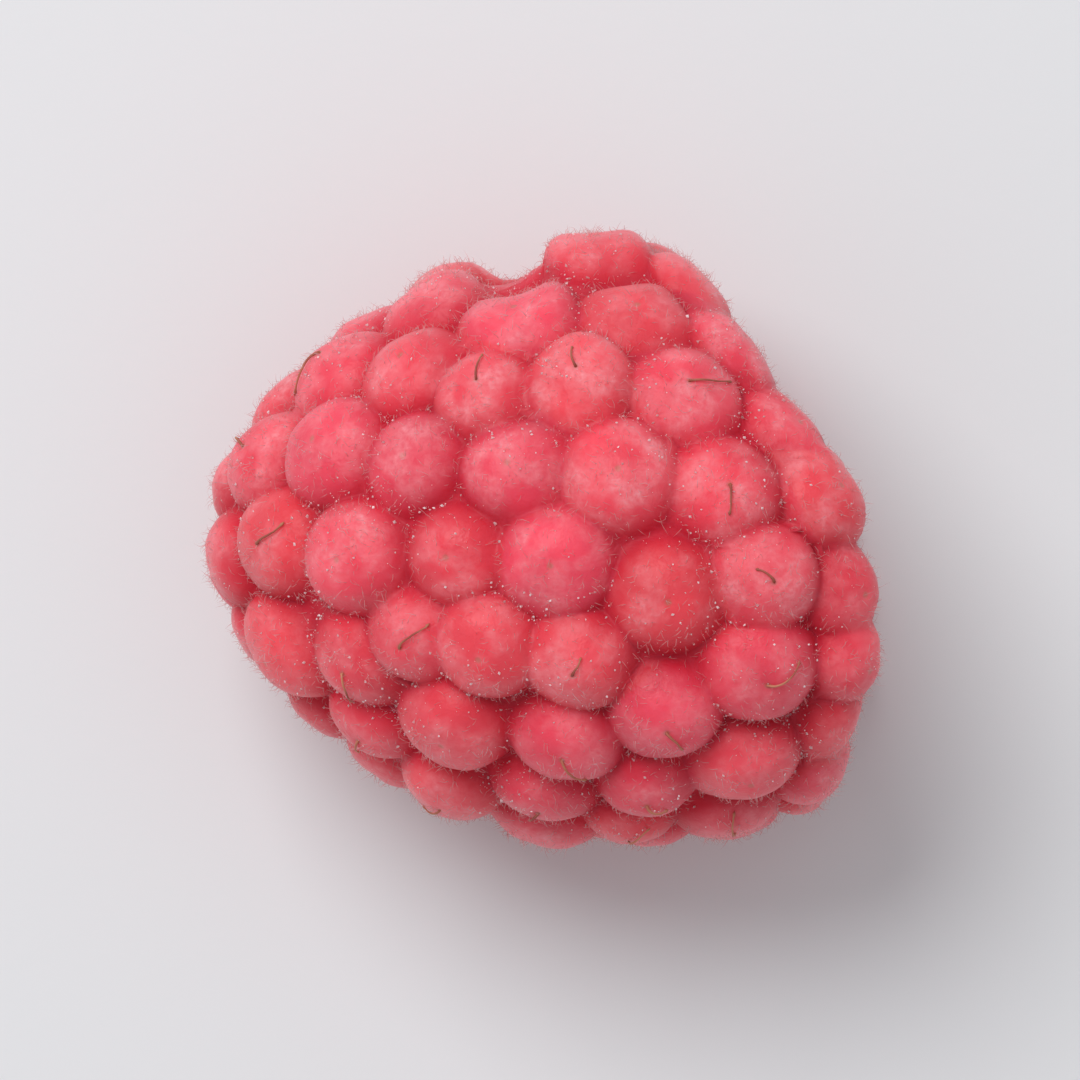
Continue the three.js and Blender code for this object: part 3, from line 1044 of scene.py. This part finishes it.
class RASPBERRY_OT_grow_down(Operator):
    """Grow the fine down on the drupelets"""

    bl_idname = "raspberry.grow_down"
    bl_label = "Grow down"

    def execute(self, context):
        settings = context.scene.raspberry.down
        rng = np.random.default_rng(DOWN_SEED)
        skin = Skin()
        density = smoothstep(skin.middle[:, 2], *BARE_FOOT)
        density *= 1 - smoothstep(skin.inside, *BARE_MOUTH)
        density *= CROWN_DOWN - CREASE_LOSS * skin.fall
        root, normal = skin.scatter(rng, settings.hairs, density)
        number = len(root)
        way = any_way_along(rng, normal)
        turn = unit(way + rng.normal(size=way.shape) * HAIR_TWIST)
        half = settings.length / MM * rng.uniform(*HAIR_LENGTHS, number)[:, None] / 2
        lean = rng.uniform(*HAIR_LEAN, number)[:, None]
        bent = lean + rng.uniform(*HAIR_BEND, number)[:, None]
        middle = root + half * (np.cos(lean) * normal + np.sin(lean) * way)
        tip = middle + half * (np.cos(bent) * normal + np.sin(bent) * turn)
        paths = np.stack([root - HAIR_ROOT * normal, middle, tip], axis=1)
        paths[..., 2] = np.maximum(paths[..., 2], HAIR_FLOOR)
        thickness = settings.thickness / MM * rng.uniform(*HAIR_THICKNESSES, number)
        points, faces = tapering_threads(paths, thickness[:, None] * HAIR_TAPER, HAIR_SIDES)
        settle_piece(put_mesh("down", points * MM, faces, frosted_down(settings)))
        return {"FINISHED"}


class RASPBERRY_OT_grow_styles(Operator):
    """Lay the dried styles over the skin, each from the crown of its drupelet"""

    bl_idname = "raspberry.grow_styles"
    bl_label = "Grow styles"

    def execute(self, context):
        settings = context.scene.raspberry.styles
        rng = np.random.default_rng(STYLE_SEED)
        skin = Skin()
        flesh = BVHTree.FromPolygons(skin.points.tolist(), skin.corners.tolist())
        crowns = [p for p in skin.points[skin.crowns] if p[2] > LOWEST_STYLE]
        rng.shuffle(crowns)
        longest = settings.length / MM
        paths = [style_path(rng, flesh, p, longest) for p in crowns[: settings.styles]]
        places = np.arange(STYLE_STEPS) / (STYLE_STEPS - 1)
        taper = np.interp(places, STYLE_PLACES, STYLE_SHARES)
        thickness = settings.thickness / MM * rng.uniform(*STYLE_THICKNESSES, len(paths))
        thickness = thickness[:, None] * taper
        points, faces = tapering_threads(np.array(paths), thickness, STYLE_SIDES)
        settle_piece(put_mesh("styles", points * MM, faces, dried_style(settings)))
        return {"FINISHED"}


class RASPBERRY_OT_grow_frost(Operator):
    """Scatter fine crystals of rime over the skin, thickest in the creases"""

    bl_idname = "raspberry.grow_frost"
    bl_label = "Grow frost"

    def execute(self, context):
        settings = context.scene.raspberry.frost
        rng = np.random.default_rng(FROST_SEED)
        skin = Skin()
        patches = np.array([noise.noise(Vector(p) / FROST_PATCH) for p in skin.middle])
        density = smoothstep(skin.facing[:, 2], *FROST_FACING) * (FROST_CROWN + skin.fall**2)
        density *= FROST_BARE + smoothstep(patches, *FROST_EDGE)
        density *= skin.middle[:, 2] > FROST_FLOOR
        place, normal = skin.scatter(rng, settings.crystals, density)
        number = len(place)
        size = mix(*CRYSTAL_SIZES, rng.random(number) ** CRYSTAL_POWER)
        radius = settings.size / MM / 2 * size[:, None]
        turns = random_turns(rng, number)
        tips = np.concatenate([np.eye(3), -np.eye(3)])
        tips = tips * rng.uniform(*CRYSTAL_TIPS, (number, len(tips), 1)) * radius[:, None]
        centre = place + normal * radius * CRYSTAL_LIFT
        points = (centre[:, None] + tips @ turns).reshape(-1, 3)
        faces = copies(OCTAHEDRON, number, tips.shape[1])
        settle_piece(put_mesh("frost", points * MM, faces, rime(settings), smooth=False))
        return {"FINISHED"}


# --- Stage, in metres -----------------------------------------------------------------------

FLOOR_HALF = 1.5
LAMP_WIDTH, LAMP_PLACE = 0.3, (-0.16, 0.22, 0.4)
LENS = 400  # mm
CAMERA_HEIGHT = 0.36
NEAREST, FURTHEST = 0.01, 10


class RASPBERRY_OT_lay_stage(Operator):
    """Lay the floor, hang the lamp and set up the camera straight above"""

    bl_idname = "raspberry.lay_stage"
    bl_label = "Lay stage"

    def execute(self, context):
        settings = context.scene.raspberry.stage
        scene = context.scene
        corners = FLOOR_HALF * np.array([(-1, -1, 0), (1, -1, 0), (1, 1, 0), (-1, 1, 0)])
        floor = put_mesh("floor", corners, [(0, 1, 2, 3)], matt_painted_floor(settings))

        world = bpy.data.worlds.new("studio")
        scene.world = world
        world.use_nodes = True
        sky = world.node_tree.nodes["Background"].inputs
        sky["Color"].default_value = rgba(settings.sky)
        sky["Strength"].default_value = settings.fill

        lamp = bpy.data.lights.new("soft box", "AREA")
        lamp.shape = "DISK"
        lamp.size = LAMP_WIDTH
        lamp.energy = settings.daylight
        box = bpy.data.objects.new("soft box", lamp)
        box.location = LAMP_PLACE
        box.rotation_mode = "QUATERNION"
        box.rotation_quaternion = (-Vector(LAMP_PLACE)).to_track_quat("-Z", "Y")
        box.visible_camera = False
        scene.collection.objects.link(box)

        low, high = (Vector(corner) for corner in BERRY_BOX)
        lens = bpy.data.cameras.new("camera")
        lens.lens = LENS
        lens.clip_start, lens.clip_end = NEAREST, FURTHEST
        camera = bpy.data.objects.new("camera", lens)
        camera.location = ((low.x + high.x) / 2, (low.y + high.y) / 2, CAMERA_HEIGHT)
        scene.collection.objects.link(camera)
        scene.camera = camera
        scene.view_settings.view_transform = "Standard"
        return {"FINISHED"}


class RASPBERRY_PT_panel(Panel):
    """The raspberry's pieces and their settings"""

    bl_idname = "RASPBERRY_PT_panel"
    bl_label = "Raspberry"
    bl_space_type = "VIEW_3D"
    bl_region_type = "UI"
    bl_category = "Raspberry"

    def draw(self, context):
        settings = context.scene.raspberry
        for operator, group in STEPS:
            box = self.layout.box()
            box.operator(operator.bl_idname)
            chosen = getattr(settings, group)
            for name in chosen.__annotations__:
                box.prop(chosen, name)


STEPS = [
    (RASPBERRY_OT_grow_flesh, "flesh"),
    (RASPBERRY_OT_grow_down, "down"),
    (RASPBERRY_OT_grow_styles, "styles"),
    (RASPBERRY_OT_grow_frost, "frost"),
    (RASPBERRY_OT_lay_stage, "stage"),
]
CLASSES = [
    RaspberryFleshSettings,
    RaspberryDownSettings,
    RaspberryStyleSettings,
    RaspberryFrostSettings,
    RaspberryStageSettings,
    RaspberrySettings,
    *(operator for operator, _ in STEPS),
    RASPBERRY_PT_panel,
]


def register():
    for item in CLASSES:
        bpy.utils.register_class(item)
    bpy.types.Scene.raspberry = PointerProperty(type=RaspberrySettings)


def unregister():
    del bpy.types.Scene.raspberry
    for item in reversed(CLASSES):
        bpy.utils.unregister_class(item)


def main():
    register()
    for operator, _ in STEPS:
        group, name = operator.bl_idname.split(".")
        getattr(getattr(bpy.ops, group), name)()


if __name__ == "__main__":
    main()
